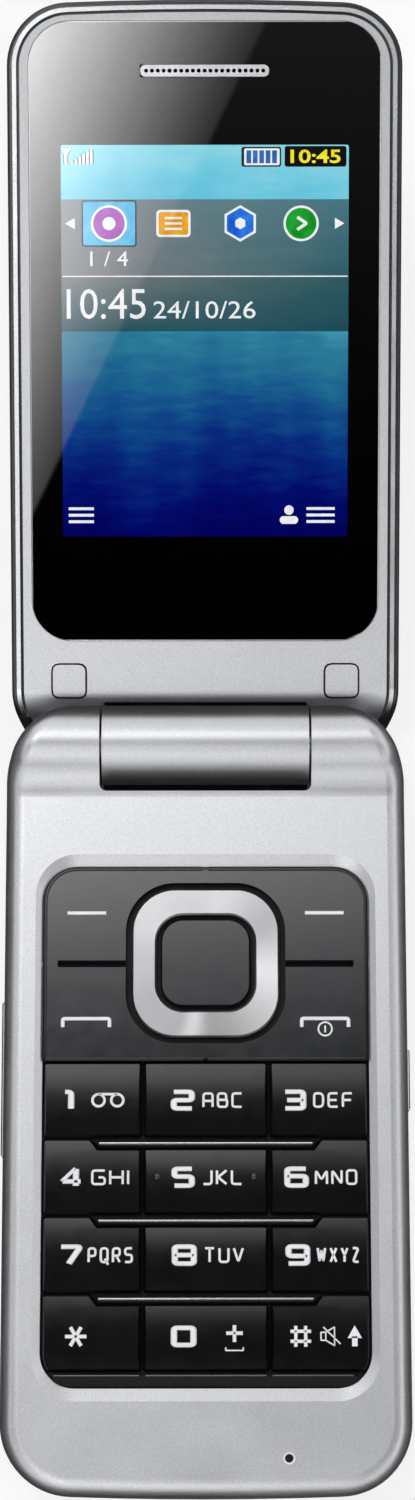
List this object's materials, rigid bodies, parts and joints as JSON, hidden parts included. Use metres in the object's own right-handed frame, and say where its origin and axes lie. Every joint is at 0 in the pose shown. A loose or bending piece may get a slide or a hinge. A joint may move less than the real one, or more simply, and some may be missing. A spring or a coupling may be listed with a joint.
{
  "type": "flip phone",
  "caption": "Clamshell mobile phone lying open, with a hinged display lid, a window of sprung keys round a four-way ring, side keys and a sliding battery cover.",
  "frame": {"origin": "centre of the flat back of the base, on the surface the phone lies on", "axes": "+X to the right of the keypad, +Y along the base towards the hinge and the lid, +Z out of the keypad"},
  "size_m": [0.0528, 0.19, 0.0373],
  "materials": {
    "silver_paint": "satin silver paint with a fine metallic grain",
    "dark_shell": "glossy near-black moulded shell",
    "trim_chrome": "bright thin trim",
    "ring_metal": "bright brushed and bevelled",
    "key_dark": "dark grey moulded keys with light legends",
    "key_black": "near-black moulded keys with light legends",
    "web_black": "matt black carrier",
    "glass": "polished window with a black printed border",
    "display": "lit colour display",
    "tin": "tinned sheet",
    "hinge_steel": "turned steel",
    "board_green": "green circuit board",
    "black_plastic": "fine-grained black plastic",
    "soft_rubber": "soft black rubber",
    "battery_case": "grey wrapped cell",
    "flex_amber": "amber flexible circuit",
    "brass": "gilt contacts"
  },
  "bodies": {
    "base": {"antenna_module": "black_plastic", "base_front_cover": "silver_paint", "base_rear_housing": "dark_shell", "base_screws": "hinge_steel", "battery_contacts": "brass", "battery_pack": "battery_case", "data_connector": "tin", "dome_switch_sheet": "tin", "flex_cable_base": "flex_amber", "hinge_cam_shaft": "hinge_steel", "hinge_pin": "hinge_steel", "keypad_web": "web_black", "loudspeaker": "black_plastic", "main_board": "board_green", "memory_card_socket": "tin", "microphone": "tin", "shield_cans": "tin", "side_switches": "black_plastic", "sim_socket": "tin", "vibration_motor": "tin"},
    "lid": {"lid_inner_cover": "silver_paint", "lid_outer_cover": "dark_shell", "lid_trim_ring": "trim_chrome", "display_window": "glass", "earpiece_grille": "trim_chrome", "lcd_panel": "display", "lcd_frame": "tin", "earpiece_speaker": "black_plastic", "screw_caps": "silver_paint", "lid_screws": "hinge_steel", "lid_board": "board_green", "camera_module": "black_plastic", "camera_window": "glass", "hinge_sleeve": "hinge_steel", "hinge_follower": "hinge_steel", "hinge_spring": "hinge_steel", "flex_cable_lid": "flex_amber"},
    "battery_cover": {"battery_cover": "dark_shell"},
    "connector_cover": {"connector_cover": "soft_rubber"},
    "volume_key": {"volume_key": "trim_chrome"},
    "camera_key": {"camera_key": "trim_chrome"},
    "nav_rocker_plate": {"nav_rocker_plate": "web_black"},
    "nav_ring": {"nav_ring": "ring_metal"},
    "left_soft_key": {"left_soft_key": "key_dark"},
    "right_soft_key": {"right_soft_key": "key_dark"},
    "send_key": {"send_key": "key_dark"},
    "end_key": {"end_key": "key_dark"},
    "select_key": {"select_key": "key_dark"},
    "key_1": {"key_1": "key_black"},
    "key_2": {"key_2": "key_black"},
    "key_3": {"key_3": "key_black"},
    "key_4": {"key_4": "key_black"},
    "key_5": {"key_5": "key_black"},
    "key_6": {"key_6": "key_black"},
    "key_7": {"key_7": "key_black"},
    "key_8": {"key_8": "key_black"},
    "key_9": {"key_9": "key_black"},
    "key_star": {"key_star": "key_black"},
    "key_0": {"key_0": "key_black"},
    "key_hash": {"key_hash": "key_black"}
  },
  "joints": [
    {"name": "lid_hinge", "type": "hinge", "parent": "base", "child": "lid", "pos_m": [0, 0.0458, 0.007], "axis": [1, 0, 0], "range_deg": [0, 160]},
    {"name": "battery_cover_slide", "type": "slide", "parent": "base", "child": "battery_cover", "axis": [0, -1, 0], "range_m": [0, 0.0905]},
    {"name": "connector_cover_hinge", "type": "hinge", "parent": "base", "child": "connector_cover", "pos_m": [0.026, -0.032, 0.0046], "axis": [0, 0, -1], "range_deg": [0, 110]},
    {"name": "volume_key_rock", "type": "hinge", "parent": "base", "child": "volume_key", "pos_m": [-0.0247, 0.002, 0.0046], "axis": [0, 0, 1], "range_deg": [-1, 1], "stiffness_Nm_per_rad": 1},
    {"name": "camera_key_press", "type": "slide", "parent": "base", "child": "camera_key", "axis": [-1, 0, 0], "range_m": [0, 0.00025], "stiffness_N_per_m": 1000},
    {"name": "nav_ring_tilt_up_down", "type": "hinge", "parent": "base", "child": "nav_rocker_plate", "pos_m": [0, 0.0166, 0.0084], "axis": [1, 0, 0], "range_deg": [-1.2, 1.2], "stiffness_Nm_per_rad": 0.6},
    {"name": "nav_ring_tilt_left_right", "type": "hinge", "parent": "nav_rocker_plate", "child": "nav_ring", "pos_m": [0, 0.0166, 0.0087], "axis": [0, 1, 0], "range_deg": [-1.2, 1.2], "stiffness_Nm_per_rad": 0.6},
    {"name": "left_soft_key_press", "type": "slide", "parent": "base", "child": "left_soft_key", "axis": [0, 0, -1], "range_m": [0, 0.00025], "stiffness_N_per_m": 1000},
    {"name": "right_soft_key_press", "type": "slide", "parent": "base", "child": "right_soft_key", "axis": [0, 0, -1], "range_m": [0, 0.00025], "stiffness_N_per_m": 1000},
    {"name": "send_key_press", "type": "slide", "parent": "base", "child": "send_key", "axis": [0, 0, -1], "range_m": [0, 0.00025], "stiffness_N_per_m": 1000},
    {"name": "end_key_press", "type": "slide", "parent": "base", "child": "end_key", "axis": [0, 0, -1], "range_m": [0, 0.00025], "stiffness_N_per_m": 1000},
    {"name": "select_key_press", "type": "slide", "parent": "base", "child": "select_key", "axis": [0, 0, -1], "range_m": [0, 0.00025], "stiffness_N_per_m": 1000},
    {"name": "key_1_press", "type": "slide", "parent": "base", "child": "key_1", "axis": [0, 0, -1], "range_m": [0, 0.00025], "stiffness_N_per_m": 1000},
    {"name": "key_2_press", "type": "slide", "parent": "base", "child": "key_2", "axis": [0, 0, -1], "range_m": [0, 0.00025], "stiffness_N_per_m": 1000},
    {"name": "key_3_press", "type": "slide", "parent": "base", "child": "key_3", "axis": [0, 0, -1], "range_m": [0, 0.00025], "stiffness_N_per_m": 1000},
    {"name": "key_4_press", "type": "slide", "parent": "base", "child": "key_4", "axis": [0, 0, -1], "range_m": [0, 0.00025], "stiffness_N_per_m": 1000},
    {"name": "key_5_press", "type": "slide", "parent": "base", "child": "key_5", "axis": [0, 0, -1], "range_m": [0, 0.00025], "stiffness_N_per_m": 1000},
    {"name": "key_6_press", "type": "slide", "parent": "base", "child": "key_6", "axis": [0, 0, -1], "range_m": [0, 0.00025], "stiffness_N_per_m": 1000},
    {"name": "key_7_press", "type": "slide", "parent": "base", "child": "key_7", "axis": [0, 0, -1], "range_m": [0, 0.00025], "stiffness_N_per_m": 1000},
    {"name": "key_8_press", "type": "slide", "parent": "base", "child": "key_8", "axis": [0, 0, -1], "range_m": [0, 0.00025], "stiffness_N_per_m": 1000},
    {"name": "key_9_press", "type": "slide", "parent": "base", "child": "key_9", "axis": [0, 0, -1], "range_m": [0, 0.00025], "stiffness_N_per_m": 1000},
    {"name": "key_star_press", "type": "slide", "parent": "base", "child": "key_star", "axis": [0, 0, -1], "range_m": [0, 0.00025], "stiffness_N_per_m": 1000},
    {"name": "key_0_press", "type": "slide", "parent": "base", "child": "key_0", "axis": [0, 0, -1], "range_m": [0, 0.00025], "stiffness_N_per_m": 1000},
    {"name": "key_hash_press", "type": "slide", "parent": "base", "child": "key_hash", "axis": [0, 0, -1], "range_m": [0, 0.00025], "stiffness_N_per_m": 1000}
  ]
}
